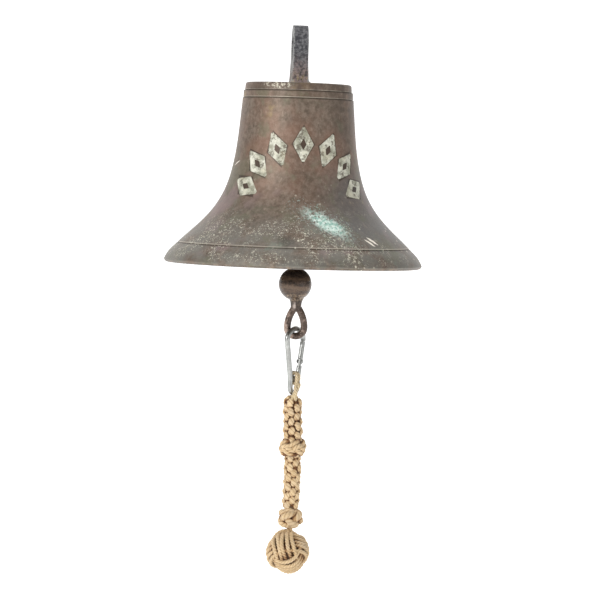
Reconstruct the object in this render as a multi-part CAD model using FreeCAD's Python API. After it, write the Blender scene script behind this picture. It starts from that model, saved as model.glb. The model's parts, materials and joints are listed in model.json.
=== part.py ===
import FreeCAD, Part

import math
import os

from FreeCAD import Vector

# Ship bell hung by the eye of its lug, with clapper, snap hook and bell rope. Millimetres.
# Origin: centre of the lug's eye. +Z up, +Y towards the back, X along the eye's bore.

# Bell casting, heights measured up from the plane of the mouth
MOUTH_RADIUS = 150.0
BELL_HEIGHT = 210.7
EYE_ABOVE_CROWN = 42.0
MOUTH_Z = -(BELL_HEIGHT + EYE_ABOVE_CROWN)
LIP_TIP_HEIGHT = 3.6
LIP_FOOT_RADIUS = 145.0
SHOULDER_RADIUS = 64.8
SHOULDER_HEIGHT = 187.4
BAND_GROOVE_HEIGHTS = (192.7, 201.3)
MIDDLE_BAND_RADIUS = 63.7
TOP_BAND_RADIUS = 61.9
CROWN_CORNER_RADIUS = 2.7
RIM_GROOVE_HEIGHT = 22.9
RIM_GROOVE_RADIUS = 135.2
GROOVE_WIDTH = 1.6
CROWN_THICKNESS = 14.0
BOSS_RADIUS = 17.0
BOSS_HEIGHT = 8.0

# Lug, cast in one with the bell
LUG_HEIGHT = 67.5
LUG_THICKNESS = 17.0
LUG_FOOT_THICKNESS = 19.0
LUG_FOOT_LENGTH = 64.0
LUG_STRAIGHT_TO = -14.0
LUG_FILLET = 5.0
EYE_RADIUS = 13.0

# Ornament: a fan of pointed lozenges let into the waist
MARK_COUNT = 7
MARK_STEP_DEG = 23.0
MARK_FAN_RADIUS = 77.4
MARK_FAN_HEIGHT = 62.7
MARK_FAN_AZIMUTH_DEG = 2.5
MARK_LENGTH = 45.0
MARK_WIDTH = 24.0
MARK_HEART_SHARE = 0.3
MARK_BLUNT = 0.12
MARK_DEPTH = 1.0
MARK_BELOW_SURFACE = 0.2

# Clapper hanging from an eye bolt, a little to one side of the bell's axis
PIVOT_X = 3.6
BOLT_RADIUS = 6.0
BOLT_DEPTH = 18.0
WASHER_RADIUS = 12.5
WASHER_THICKNESS = 2.0
NUT_ACROSS_FLATS = 19.0
NUT_THICKNESS = 7.0
RING_RADIUS = 13.0
RING_WIRE = 4.5
RING_BELOW_NUT = 1.0
BOW_WIRE = 4.0
BOW_RADIUS = 9.0
SHACKLE_DROP = 22.0
SHACKLE_LUG_RADIUS = 8.0
PIN_RADIUS = 4.0
PIN_HEAD_RADIUS = 7.0
PIN_HEAD_THICKNESS = 3.0
PIN_TAIL = 5.6
SPLIT_PIN_RADIUS = 0.95
RUNNING_CLEARANCE = 0.08
SIDE_CLEARANCE = 0.3
CLAPPER_EYE_RADIUS = 11.0
SHAFT_TOP_RADIUS = 6.3
SHAFT_FOOT_RADIUS = 7.5
BALL_RADIUS = 19.2
BALL_BELOW_MOUTH = 22.0
NECK_RADIUS = 6.4
NECK_BELOW_BALL = 24.0
TAIL_OFFSET = 2.2
TAIL_WIRE = 4.1
TAIL_RADIUS = 9.8
TAIL_SIDE_RADIUS = 38.0
TAIL_LENGTH = 64.7

# Snap hook, drawn in its own plane
HOOK_TURN_DEG = 57.0
HOOK_WIRE = 3.05
HOOK_GAP = 1.15
HOOK_LENGTH = 80.0
HOOK_HALF_WIDTH = 19.5
HOOK_SHOULDER_DROP = 9.5
HOOK_ROOF_RISE = 1.75
HOOK_WAIST_HALF_WIDTH = 8.6
HOOK_CROSSPIECE_DROP = 61.0
HOOK_FOOT_CORNER = 6.5
GATE_HINGE_DROP = 41.5
GATE_TOP_DROP = 18.5
GATE_RADIUS = 3.0
GATE_BORE = 1.75
TONGUE_THICKNESS = 2.2
TONGUE_LENGTH = 4.5
CATCH_ROOM = 2.0
RIVET_RADIUS = 1.25
RIVET_HEAD_RADIUS = 2.3
SPRING_WIRE = 0.3
SPRING_TURNS = 7

# Bell rope
CORD_DIAMETER = 5.0
ROPE_EYE_ALONG = -3.0
ROPE_STEM_RADIUS = 4.0
ROPE_Y = -2.0
SINNET_TOP_RADIUS = 10.6
SINNET_RADIUS = 9.9
SINNET_DOME_RADIUS = 12.6
COLLAR_RADIUS = 15.3
COLLAR_HEIGHT = 20.5
COLLAR_ROUNDING = 4.0
COLLAR_MIDDLE_Z = -465.2
SINNET_ROUTE_X = (4.6, 6.4, 7.7, 6.9)
SINNET_ROUTE_Z = (-405.7, -444.0, -496.0, -536.6)
KNOT_RADIUS = 14.4
KNOT_HEIGHT = 22.0
KNOT_GAP = 0.3
NECK_LENGTH = 3.0
NECK_TOP_RADIUS = 4.4
NECK_FOOT_RADIUS = 1.5
FIST_RADIUS = 24.7
FIST_GAP = 0.7
FIST_LEAN_X = -2.0
CORE_RADIUS = 14.0

CROWN_Z = -EYE_ABOVE_CROWN
BOSS_FOOT_Z = CROWN_Z - CROWN_THICKNESS - BOSS_HEIGHT
NUT_TOP_Z = BOSS_FOOT_Z - WASHER_THICKNESS
RING_Z = NUT_TOP_Z - NUT_THICKNESS - RING_RADIUS - RING_WIRE - RING_BELOW_NUT
ROCK_Z = RING_Z - RING_RADIUS
PIN_Z = ROCK_Z - SHACKLE_DROP
BALL_Z = MOUTH_Z - BALL_BELOW_MOUTH
TAIL_X = PIVOT_X + TAIL_OFFSET
TAIL_BAR_Z = BALL_Z - TAIL_LENGTH + TAIL_WIRE
HOOK_TOP_Z = TAIL_BAR_Z + TAIL_WIRE + HOOK_GAP + 2 * HOOK_WIRE
X = Vector(1, 0, 0)
Y = Vector(0, 1, 0)
Z = Vector(0, 0, 1)


def save(name, shape):
    """Writes one node, and says its volume."""
    os.makedirs("parts", exist_ok=True)
    shape.exportStep("parts/" + name + ".step")
    state = "valid" if shape.isValid() else "NOT VALID"
    print(name, round(shape.Volume, 1), "mm3", state, len(shape.Solids))


def polygon(points):
    """A flat face with straight sides."""
    return Part.Face(Part.makePolygon(points + points[:1]))


def rod(start, end, radius):
    """A round bar between two points."""
    along = end - start
    return Part.makeCylinder(radius, along.Length, start, along)


def bored(centre, direction, outer, inner, length):
    """A round boss with a hole, centred on a point."""
    start = centre - direction * (length / 2)
    boss = Part.makeCylinder(outer, length, start, direction)
    return boss.cut(Part.makeCylinder(inner, length + 2, start - direction, direction))


def rounded_wire(points, radii):
    """Straight runs joined by tangent arcs."""
    edges = []
    here = points[0]
    for before, corner, after, radius in zip(points, points[1:], points[2:], radii):
        back = (before - corner).normalize()
        forward = (after - corner).normalize()
        half_turn = (math.pi - back.getAngle(forward)) / 2
        reach = radius * math.tan(half_turn)
        middle = (back + forward).normalize() * (radius / math.cos(half_turn) - radius)
        start = corner + back * reach
        end = corner + forward * reach
        edges.append(Part.LineSegment(here, start).toShape())
        edges.append(Part.Arc(start, corner + middle, end).toShape())
        here = end
    edges.append(Part.LineSegment(here, points[-1]).toShape())
    return Part.Wire(edges)


def tube(path, radius):
    """A round bar along a wire."""
    first = path.OrderedEdges[0]
    start = first.valueAt(first.FirstParameter)
    direction = first.tangentAt(first.FirstParameter)
    ring = Part.Wire(Part.Circle(start, direction, radius).toShape())
    return path.makePipeShell([ring], True, False)


def cord_radii(points):
    """The largest tangent arcs that a cord's runs allow."""
    radii = []
    for before, corner, after in zip(points, points[1:], points[2:]):
        back = before - corner
        forward = after - corner
        half_turn = (math.pi - back.getAngle(forward)) / 2
        radii.append(0.45 * min(back.Length, forward.Length) / math.tan(half_turn))
    return radii


# ---------------------------------------------------------------- bell

def at(radius, height):
    """A point of the bell's profile."""
    return Vector(radius, 0, MOUTH_Z + height)


FLARE = [
    at(138.4, 19.5), at(123.6, 33.8), at(108.7, 47.8), at(92.9, 66.4), at(81.5, 87.3),
    at(74.3, 110.6), at(68.6, 145.5), at(SHOULDER_RADIUS, SHOULDER_HEIGHT),
]
INSIDE = [
    at(56.0, 184.7), at(60.1, 145.0), at(65.5, 108.6), at(72.2, 83.6), at(82.8, 59.9),
    at(95.0, 40.5), at(111.0, 21.0), at(127.0, 6.5),
]


def spline(points):
    curve = Part.BSplineCurve()
    curve.interpolate(points)
    return curve


def line(start, end):
    return Part.LineSegment(start, end).toShape()


def turned(edges):
    """A solid of revolution about the bell's axis from a closed chain of edges."""
    return Part.Face(Part.Wire(edges)).revolve(Vector(0, 0, 0), Z, 360)


def groove(radius, height, width):
    """The ring that an engraved line takes out of the bell."""
    return Part.makeTorus(radius, width / 2, Vector(0, 0, MOUTH_Z + height), Z)


def bell_body():
    shoulder = at(SHOULDER_RADIUS, SHOULDER_HEIGHT)
    low_groove, high_groove = BAND_GROOVE_HEIGHTS
    lower_step = at(SHOULDER_RADIUS - 0.3, low_groove)
    middle_foot = at(MIDDLE_BAND_RADIUS, low_groove)
    middle_top = at(MIDDLE_BAND_RADIUS - 0.2, high_groove)
    top_foot = at(TOP_BAND_RADIUS + 0.3, high_groove)
    corner = CROWN_CORNER_RADIUS
    top_side = at(TOP_BAND_RADIUS - 0.3, BELL_HEIGHT - corner)
    crown_edge = at(TOP_BAND_RADIUS - 0.3 - corner, BELL_HEIGHT)
    cut_off = corner * (1 - math.sqrt(0.5))
    bend = at(TOP_BAND_RADIUS - 0.3 - cut_off, BELL_HEIGHT - cut_off)
    ceiling = BELL_HEIGHT - CROWN_THICKNESS
    edges = [
        Part.Arc(at(LIP_FOOT_RADIUS, 0), at(148.9, 1.2), at(MOUTH_RADIUS, LIP_TIP_HEIGHT)).toShape(),
        Part.Arc(at(MOUTH_RADIUS, LIP_TIP_HEIGHT), at(146.4, 10.6), FLARE[0]).toShape(),
        spline(FLARE).toShape(),
        line(shoulder, lower_step),
        line(lower_step, middle_foot),
        line(middle_foot, middle_top),
        line(middle_top, top_foot),
        line(top_foot, top_side),
        Part.Arc(top_side, bend, crown_edge).toShape(),
        line(crown_edge, at(0, BELL_HEIGHT)),
        line(at(0, BELL_HEIGHT), at(0, ceiling - BOSS_HEIGHT)),
        line(at(0, ceiling - BOSS_HEIGHT), at(BOSS_RADIUS + PIVOT_X, ceiling - BOSS_HEIGHT)),
        line(at(BOSS_RADIUS + PIVOT_X, ceiling - BOSS_HEIGHT), at(BOSS_RADIUS + PIVOT_X + 2, ceiling)),
        line(at(BOSS_RADIUS + PIVOT_X + 2, ceiling), at(44.0, ceiling)),
        Part.Arc(at(44.0, ceiling), at(52.5, ceiling - 3.5), INSIDE[0]).toShape(),
        spline(INSIDE).toShape(),
        line(INSIDE[-1], at(142.0, 0)),
        line(at(142.0, 0), at(LIP_FOOT_RADIUS, 0)),
    ]
    body = turned(edges)
    body = body.cut(groove(RIM_GROOVE_RADIUS, RIM_GROOVE_HEIGHT, GROOVE_WIDTH))
    body = body.cut(groove(MIDDLE_BAND_RADIUS, low_groove, GROOVE_WIDTH))
    return body.cut(groove(TOP_BAND_RADIUS + 0.4, high_groove, GROOVE_WIDTH))


def lug():
    """An arch with its eye on the origin, thicker towards its foot."""
    top = LUG_HEIGHT - EYE_ABOVE_CROWN
    foot = LUG_FOOT_LENGTH / 2
    side = top - 1.5
    buried = CROWN_Z - 4
    front_side = Vector(0, -side - 2.6, CROWN_Z / 2)
    back_side = Vector(0, side + 2.6, CROWN_Z / 2)
    arch = Part.Wire([
        Part.Arc(Vector(0, -top, 0), Vector(0, 0, top), Vector(0, top, 0)).toShape(),
        Part.Arc(Vector(0, top, 0), back_side, Vector(0, foot, CROWN_Z)).toShape(),
        line(Vector(0, foot, CROWN_Z), Vector(0, foot, buried)),
        line(Vector(0, foot, buried), Vector(0, -foot, buried)),
        line(Vector(0, -foot, buried), Vector(0, -foot, CROWN_Z)),
        Part.Arc(Vector(0, -foot, CROWN_Z), front_side, Vector(0, -top, 0)).toShape(),
    ])
    arch.translate(X * -LUG_FOOT_THICKNESS)
    slab = Part.Face(arch).extrude(X * 2 * LUG_FOOT_THICKNESS)
    half = LUG_THICKNESS / 2
    half_foot = LUG_FOOT_THICKNESS / 2
    front = polygon([
        Vector(-half, -100, 60), Vector(half, -100, 60), Vector(half, -100, LUG_STRAIGHT_TO),
        Vector(half_foot, -100, CROWN_Z), Vector(half_foot, -100, buried), Vector(-half_foot, -100, buried),
        Vector(-half_foot, -100, CROWN_Z), Vector(-half, -100, LUG_STRAIGHT_TO),
    ]).extrude(Y * 200)
    return slab.common(front)


def mark_frame(turn_deg):
    """Where a mark sits: its centre's azimuth from the front, its height, and its tilt."""
    turn = math.radians(turn_deg)
    height = MARK_FAN_HEIGHT + MARK_FAN_RADIUS * math.cos(turn)
    radius = waist_radius(height)
    azimuth = math.radians(MARK_FAN_AZIMUTH_DEG) + MARK_FAN_RADIUS * math.sin(turn) / radius
    return azimuth, height, turn


def waist_radius(height):
    """The bell's outer radius at a height."""
    curve = spline(FLARE)
    level = Part.Plane(Vector(0, 0, MOUTH_Z + height), Z)
    return curve.intersect(level)[0][0].X


def lozenge(turn_deg, share):
    """A long prism through the waist with the outline of one mark."""
    azimuth, height, turn = mark_frame(turn_deg)
    outward = Vector(math.sin(azimuth), -math.cos(azimuth), 0)
    sideways = Vector(math.cos(azimuth), math.sin(azimuth), 0)
    centre = Vector(0, 0, MOUTH_Z + height) + outward * 40
    long_way = sideways * math.sin(turn) + Z * math.cos(turn)
    short_way = sideways * math.cos(turn) - Z * math.sin(turn)
    tip = long_way * (MARK_LENGTH / 2 * share)
    flank = short_way * (MARK_WIDTH / 2 * share)
    blunt_tip = tip * (1 - MARK_BLUNT)
    blunt_flank = flank * MARK_BLUNT
    outline = [
        centre + blunt_tip + blunt_flank, centre + flank, centre - blunt_tip + blunt_flank,
        centre - blunt_tip - blunt_flank, centre - flank, centre + blunt_tip - blunt_flank,
    ]
    return polygon(outline).extrude(outward * 80)


def waist_skin(outer_inset, inner_inset):
    """The layer of the waist between two depths below its surface."""
    outer = [point - X * outer_inset for point in FLARE[1:]]
    inner = [point - X * inner_inset for point in FLARE[1:]]
    return turned([
        spline(outer).toShape(),
        line(outer[-1], inner[-1]),
        spline(inner).toShape(),
        line(inner[0], outer[0]),
    ])


def bell_with_ornament():
    body = bell_body().fuse(lug()).removeSplitter()
    joint_edges = [
        edge for edge in body.Edges
        if all(abs(v.Z - CROWN_Z) < 0.01 and abs(v.X) < 30 for v in edge.Vertexes)
        and abs(edge.CenterOfMass.z - CROWN_Z) < 0.01 and edge.Length < 100
    ]
    body = body.makeFillet(LUG_FILLET, joint_edges)
    body = body.cut(Part.makeCylinder(EYE_RADIUS, 60, Vector(-30, 0, 0), X))
    hole_top = CROWN_Z - CROWN_THICKNESS - BOSS_HEIGHT + BOLT_DEPTH + 1
    body = body.cut(rod(Vector(PIVOT_X, 0, hole_top - 60), Vector(PIVOT_X, 0, hole_top), BOLT_RADIUS + 0.05))
    recess = waist_skin(-2.0, MARK_DEPTH)
    fill = waist_skin(MARK_BELOW_SURFACE, MARK_DEPTH)
    inlays = []
    for step in range(MARK_COUNT):
        turn = (step - (MARK_COUNT - 1) / 2) * MARK_STEP_DEG
        mark = lozenge(turn, 1.0).cut(lozenge(turn, MARK_HEART_SHARE))
        body = body.cut(recess.common(mark))
        inlays += fill.common(mark).Solids
    return body, Part.makeCompound(inlays)


# ---------------------------------------------------------------- clapper and what carries it

def crown_eye_bolt():
    shank_foot = Vector(PIVOT_X, 0, RING_Z + RING_RADIUS)
    shank = rod(shank_foot, Vector(PIVOT_X, 0, BOSS_FOOT_Z + BOLT_DEPTH), BOLT_RADIUS)
    ring = Part.makeTorus(RING_RADIUS, RING_WIRE, Vector(PIVOT_X, 0, RING_Z), Y)
    return shank.fuse(ring)


def crown_washer():
    middle = Vector(PIVOT_X, 0, BOSS_FOOT_Z - WASHER_THICKNESS / 2)
    return bored(middle, Z, WASHER_RADIUS, BOLT_RADIUS + 0.3, WASHER_THICKNESS)


def crown_lock_nut():
    top = Vector(PIVOT_X, 0, NUT_TOP_Z)
    corner = NUT_ACROSS_FLATS / math.sqrt(3)
    turns = [math.radians(60 * k) for k in range(6)]
    corners = [top + Vector(math.cos(turn), math.sin(turn), 0) * corner for turn in turns]
    block = polygon(corners).extrude(Z * -NUT_THICKNESS)
    cone = Part.makeCone(corner + 5, corner - 1.2, NUT_THICKNESS + 1, top + Z, Z * -1)
    return block.common(cone).cut(rod(top + Z * 5, top - Z * 20, BOLT_RADIUS + 0.05))


def shackle_bow():
    """A U over the ring's lowest wire, with two bored ends for the pin."""
    legs = [
        Vector(PIVOT_X, BOW_RADIUS, PIN_Z), Vector(PIVOT_X, BOW_RADIUS, ROCK_Z),
        Vector(PIVOT_X, -BOW_RADIUS, ROCK_Z), Vector(PIVOT_X, -BOW_RADIUS, PIN_Z),
    ]
    path = Part.Wire([
        line(legs[0], legs[1]),
        Part.Arc(legs[1], Vector(PIVOT_X, 0, ROCK_Z + BOW_RADIUS), legs[2]).toShape(),
        line(legs[2], legs[3]),
    ])
    bow = tube(path, BOW_WIRE)
    for side in (-1, 1):
        centre = Vector(PIVOT_X, side * BOW_RADIUS, PIN_Z)
        bow = bow.fuse(Part.makeCylinder(SHACKLE_LUG_RADIUS, 2 * BOW_WIRE, centre - Y * BOW_WIRE, Y))
    return bow.cut(Part.makeCylinder(PIN_RADIUS + RUNNING_CLEARANCE, 60, Vector(PIVOT_X, -30, PIN_Z), Y))


def pin_tail_y():
    return BOW_RADIUS + BOW_WIRE + PIN_TAIL / 2


def shackle_pin():
    outside = BOW_RADIUS + BOW_WIRE + 0.1
    start = Vector(PIVOT_X, -outside, PIN_Z)
    shank = Part.makeCylinder(PIN_RADIUS, 2 * outside + PIN_TAIL, start, Y)
    head = Part.makeCylinder(PIN_HEAD_RADIUS, PIN_HEAD_THICKNESS, start, Y * -1)
    hole = rod(Vector(PIVOT_X, pin_tail_y(), PIN_Z - 20), Vector(PIVOT_X, pin_tail_y(), PIN_Z + 20), 1.1)
    return shank.fuse(head).cut(hole)


def split_pin():
    """A ring head, a shank through the pin's cross hole, and two tails bent apart."""
    centre = Vector(PIVOT_X, pin_tail_y(), PIN_Z)
    shank = rod(centre - Z * 6, centre + Z * 5, SPLIT_PIN_RADIUS)
    head = Part.makeTorus(1.9, 0.8, centre + Z * 7.0, Y)
    pin = shank.fuse(head)
    for side in (-1, 1):
        pin = pin.fuse(rod(centre - Z * 5.6, centre - Z * 7.6 + X * side * 4.5, 0.75))
    return pin


def clapper():
    """Top eye, tapering shaft, ball, neck and the pear-shaped eye of the tail."""
    pin = Vector(PIVOT_X, 0, PIN_Z)
    thickness = 2 * (BOW_RADIUS - BOW_WIRE - SIDE_CLEARANCE)
    eye = Part.makeCylinder(CLAPPER_EYE_RADIUS, thickness, pin - Y * (thickness / 2), Y)
    throat = Part.makeCone(4.4, SHAFT_TOP_RADIUS, 14, pin - Z * 8, Z * -1)
    shaft_length = PIN_Z - 22 - BALL_Z
    shaft = Part.makeCone(SHAFT_TOP_RADIUS, SHAFT_FOOT_RADIUS, shaft_length, pin - Z * 22, Z * -1)
    ball = Part.makeSphere(BALL_RADIUS, Vector(PIVOT_X, 0, BALL_Z))
    whole = eye.fuse(throat).fuse(shaft).fuse(ball).fuse(neck()).fuse(tail_eye())
    return whole.cut(Part.makeCylinder(PIN_RADIUS + RUNNING_CLEARANCE, 40, pin - Y * 20, Y))


def neck():
    """A flared collar from the ball down to the tail."""
    top = BALL_Z - 13.6
    foot = BALL_Z - NECK_BELOW_BALL
    bell_mouth = [
        line(Vector(0, 0, top), Vector(11.6, 0, top)),
        Part.Arc(Vector(11.6, 0, top), Vector(7.6, 0, top - 5.2), Vector(NECK_RADIUS, 0, foot)).toShape(),
        line(Vector(NECK_RADIUS, 0, foot), Vector(NECK_RADIUS - 0.5, 0, foot - 7)),
        line(Vector(NECK_RADIUS - 0.5, 0, foot - 7), Vector(0, 0, foot - 7)),
        line(Vector(0, 0, foot - 7), Vector(0, 0, top)),
    ]
    collar = turned(bell_mouth)
    collar.translate(X * (PIVOT_X + TAIL_OFFSET * 0.8))
    return collar


def tail_eye():
    """A round bar bent to a pear: its lowest point is the bar that the hook hangs on."""
    centre_z = TAIL_BAR_Z + TAIL_RADIUS
    sweep = math.radians(37)
    rise = TAIL_SIDE_RADIUS * math.sin(sweep)
    inwards = TAIL_SIDE_RADIUS * (1 - math.cos(sweep))
    half_rise = TAIL_SIDE_RADIUS * math.sin(sweep / 2)
    half_inwards = TAIL_SIDE_RADIUS * (1 - math.cos(sweep / 2))
    low = math.sqrt(0.5) * TAIL_RADIUS
    bars = []
    for side in (-1, 1):
        flank = Vector(TAIL_X + side * TAIL_RADIUS, 0, centre_z)
        tip = flank + Vector(-side * inwards, 0, rise)
        bend = flank + Vector(-side * half_inwards, 0, half_rise)
        below = Vector(TAIL_X + side * low, 0, centre_z - low)
        bars.append(tube(Part.Wire([
            Part.Arc(tip, bend, flank).toShape(),
            Part.Arc(flank, below, Vector(TAIL_X, 0, TAIL_BAR_Z)).toShape(),
        ]), TAIL_WIRE))
    return bars[0].fuse(bars[1])


# ---------------------------------------------------------------- snap hook

def on_hook(along, drop):
    """A point of the hook's plane before the hook is turned: sideways, and down from its top."""
    return Vector(along, 0, HOOK_TOP_Z - drop)


def placed(shape):
    """Turns a shape from the hook's own plane to where the hook hangs."""
    shape.rotate(Vector(0, 0, 0), Z, HOOK_TURN_DEG)
    shape.translate(X * TAIL_X)
    return shape


def side_at(drop):
    """How far the centre of the hook's wire is from its middle, below the shoulders."""
    share = (drop - HOOK_SHOULDER_DROP) / (HOOK_CROSSPIECE_DROP - HOOK_SHOULDER_DROP)
    return HOOK_HALF_WIDTH + 0.8 + (HOOK_WAIST_HALF_WIDTH - HOOK_HALF_WIDTH - 0.8) * share


def gate_line():
    """The gate's hinge, its top end, and the direction between them."""
    hinge = on_hook(side_at(GATE_HINGE_DROP), GATE_HINGE_DROP)
    top = on_hook(side_at(GATE_TOP_DROP), GATE_TOP_DROP)
    return hinge, top, (top - hinge).normalize()


def flat_tongue(centre, direction, length, width):
    """A flat bar in the hook's plane, as thick as the slot in the gate is wide, less clearance."""
    across = Y.cross(direction)
    near = centre - across * (width / 2) - Y * (TONGUE_THICKNESS / 2)
    far = near + direction * length
    outline = [near, near + across * width, far + across * width, far]
    return polygon(outline).extrude(Y * TONGUE_THICKNESS)


def hook_frame():
    hinge, top, up = gate_line()
    nose_end = top + up * 0.8
    shoulder = HOOK_HALF_WIDTH + 0.8
    waist = HOOK_WAIST_HALF_WIDTH
    foot_drop = HOOK_LENGTH - HOOK_WIRE
    left_waist = on_hook(-waist, HOOK_CROSSPIECE_DROP)
    right_waist = on_hook(waist, HOOK_CROSSPIECE_DROP)
    bend = [
        nose_end, on_hook(shoulder, HOOK_SHOULDER_DROP), on_hook(0, HOOK_WIRE - HOOK_ROOF_RISE),
        on_hook(-shoulder, HOOK_SHOULDER_DROP), left_waist,
        on_hook(-waist, foot_drop), on_hook(waist, foot_drop), right_waist, hinge - up * 5.2,
    ]
    corners = [9.0, 19.0, 9.0, 30.0, HOOK_FOOT_CORNER, HOOK_FOOT_CORNER, 30.0]
    frame = tube(rounded_wire(bend, corners), HOOK_WIRE)
    frame = frame.fuse(rod(left_waist, right_waist, HOOK_WIRE - 0.1))
    frame = frame.fuse(flat_tongue(hinge - up * 6.5, up, 6.5 + RIVET_HEAD_RADIUS, 4.0))
    frame = frame.fuse(flat_tongue(nose_end - up * TONGUE_LENGTH, up, TONGUE_LENGTH + 1.5, 2.6))
    frame = frame.fuse(rod(nose_end - up * 3.6 - Y * 2.0, nose_end - up * 3.6 + Y * 2.0, 0.9))
    return placed(frame.cut(rod(hinge - Y * 5, hinge + Y * 5, RIVET_RADIUS + 0.05)))


def hook_gate():
    """A bored bar, slotted at both ends: over the hinge tongue and over the nose's tongue."""
    hinge, top, up = gate_line()
    foot = hinge - up * 2.6
    body = rod(foot, top, GATE_RADIUS)
    body = body.cut(rod(hinge + up * 4.5, top - up * 7.0, GATE_BORE))
    slot = TONGUE_THICKNESS + 0.5
    across = Y.cross(up)
    for start, length in ((foot - up, 7.4), (top - up * 5.5, 8.0)):
        corner = start - across * 5 - Y * (slot / 2)
        outline = [corner, corner + across * 10, corner + across * 10 + up * length, corner + up * length]
        body = body.cut(polygon(outline).extrude(Y * slot))
    catch = top - up * 2.8
    corner = catch - across * 1.6 - up * CATCH_ROOM - Y * 2.3
    outline = [
        corner, corner + across * 8, corner + across * 8 + up * 2 * CATCH_ROOM, corner + up * 2 * CATCH_ROOM,
    ]
    room = polygon(outline).extrude(Y * 4.6)
    body = body.cut(room)
    body = body.cut(rod(hinge - Y * 5, hinge + Y * 5, RIVET_RADIUS + 0.05))
    return placed(body)


def gate_rivet():
    hinge, _, _ = gate_line()
    reach = GATE_RADIUS + 0.15
    rivet = rod(hinge - Y * reach, hinge + Y * reach, RIVET_RADIUS)
    for side in (-1, 1):
        start = hinge + Y * (side * reach)
        rivet = rivet.fuse(Part.makeCone(RIVET_HEAD_RADIUS, RIVET_HEAD_RADIUS - 0.9, 0.8, start, Y * side))
    return placed(rivet)


def spring_span():
    """Where the spring starts in the gate's bore, and how long it is."""
    hinge, top, up = gate_line()
    start = hinge + up * 7.6
    return start, (top - up * 7.6 - start).Length


def gate_spring():
    _, _, up = gate_line()
    start, length = spring_span()
    coil = GATE_BORE - 0.25 - SPRING_WIRE
    helix = Part.makeHelix((length - 0.8) / SPRING_TURNS, length - 0.8, coil)
    ring = Part.Wire(Part.Circle(Vector(coil, 0, 0), Y, SPRING_WIRE).toShape())
    spring = Part.Wire(helix).makePipeShell([ring], True, True)
    spring.rotate(Vector(0, 0, 0), Y, math.degrees(math.atan2(up.x, up.z)))
    spring.translate(start + up * 0.4)
    return placed(spring)


def gate_plunger():
    hinge, _, up = gate_line()
    foot = hinge + up * 5.0
    head = spring_span()[0] - up * 0.05
    return placed(rod(foot, head, GATE_BORE - 0.15))


# ---------------------------------------------------------------- bell rope

def rope_eye():
    """The outer shape of a cord looped round the crosspiece, whose two parts hang in front of the hook."""
    middle = on_hook(ROPE_EYE_ALONG, HOOK_CROSSPIECE_DROP)
    cord = CORD_DIAMETER / 2
    loop = Part.makeTorus(HOOK_WIRE + 0.3 + cord, cord, middle, X)
    reach = HOOK_WIRE + 0.4 + ROPE_STEM_RADIUS
    top = middle - Y * reach + Z * 1.0
    foot = Vector(ROPE_EYE_ALONG - 5.5, -reach, HOOK_TOP_Z - HOOK_LENGTH + 1.5)
    return placed(loop.fuse(rod(top, foot, ROPE_STEM_RADIUS)))


def sinnet_points():
    return [Vector(x, ROPE_Y, z) for x, z in zip(SINNET_ROUTE_X, SINNET_ROUTE_Z)]


def sinnet_parts():
    """The plaited rope, in two thicknesses that meet inside the collar. Its top is a dome."""
    points = sinnet_points()
    radii = cord_radii(points)
    print("sinnet radii", [round(radius) for radius in radii])
    path = rounded_wire(points, radii)
    above = Part.makeBox(80, 80, 200, Vector(-40, -40, COLLAR_MIDDLE_Z))
    thick = tube(path, SINNET_TOP_RADIUS).common(above)
    thin = tube(path, SINNET_RADIUS).cut(above)
    down = (points[1] - points[0]).normalize()
    dome = Part.makeSphere(SINNET_DOME_RADIUS, points[0] + down * SINNET_DOME_RADIUS)
    shell = Part.makeCylinder(30, SINNET_DOME_RADIUS - 2, points[0] - down, down)
    thick = thick.cut(shell.cut(dome))
    print("sinnet length", round(path.Length, 1))
    return thick, thin


def collar():
    """A rounded ring close round the sinnet."""
    foot = Vector(SINNET_ROUTE_X[1] + 0.5, ROPE_Y, COLLAR_MIDDLE_Z - COLLAR_HEIGHT / 2)
    ring = Part.makeCylinder(COLLAR_RADIUS, COLLAR_HEIGHT, foot)
    ends = [edge for edge in ring.Edges if isinstance(edge.Curve, Part.Circle)]
    ring = ring.makeFillet(COLLAR_ROUNDING, ends)
    return ring.cut(Part.makeCylinder(SINNET_TOP_RADIUS + 0.4, COLLAR_HEIGHT + 2, foot - Z))


def lower_knot():
    """A barrel under the sinnet."""
    half = KNOT_HEIGHT / 2
    edges = [
        line(Vector(0, 0, -half), Vector(6.0, 0, -half)),
        Part.Arc(Vector(6.0, 0, -half), Vector(KNOT_RADIUS, 0, 0), Vector(9.0, 0, half)).toShape(),
        line(Vector(9.0, 0, half), Vector(0, 0, half)),
        line(Vector(0, 0, half), Vector(0, 0, -half)),
    ]
    knot = turned(edges)
    knot.translate(Vector(SINNET_ROUTE_X[-1], ROPE_Y, SINNET_ROUTE_Z[-1] - half - KNOT_GAP))
    return knot


def knot_foot():
    return Vector(SINNET_ROUTE_X[-1], ROPE_Y, SINNET_ROUTE_Z[-1] - KNOT_HEIGHT - KNOT_GAP)


def neck_cord():
    return Part.makeCone(NECK_TOP_RADIUS, NECK_FOOT_RADIUS, NECK_LENGTH - 0.3, knot_foot(), Z * -1)


def fist_centre():
    return knot_foot() - Z * (NECK_LENGTH + FIST_GAP + FIST_RADIUS) + X * FIST_LEAN_X


def monkeys_fist():
    return Part.makeSphere(FIST_RADIUS, fist_centre()).cut(Part.makeSphere(CORE_RADIUS + 0.2, fist_centre()))


def fist_core():
    return Part.makeSphere(CORE_RADIUS, fist_centre())


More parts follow.
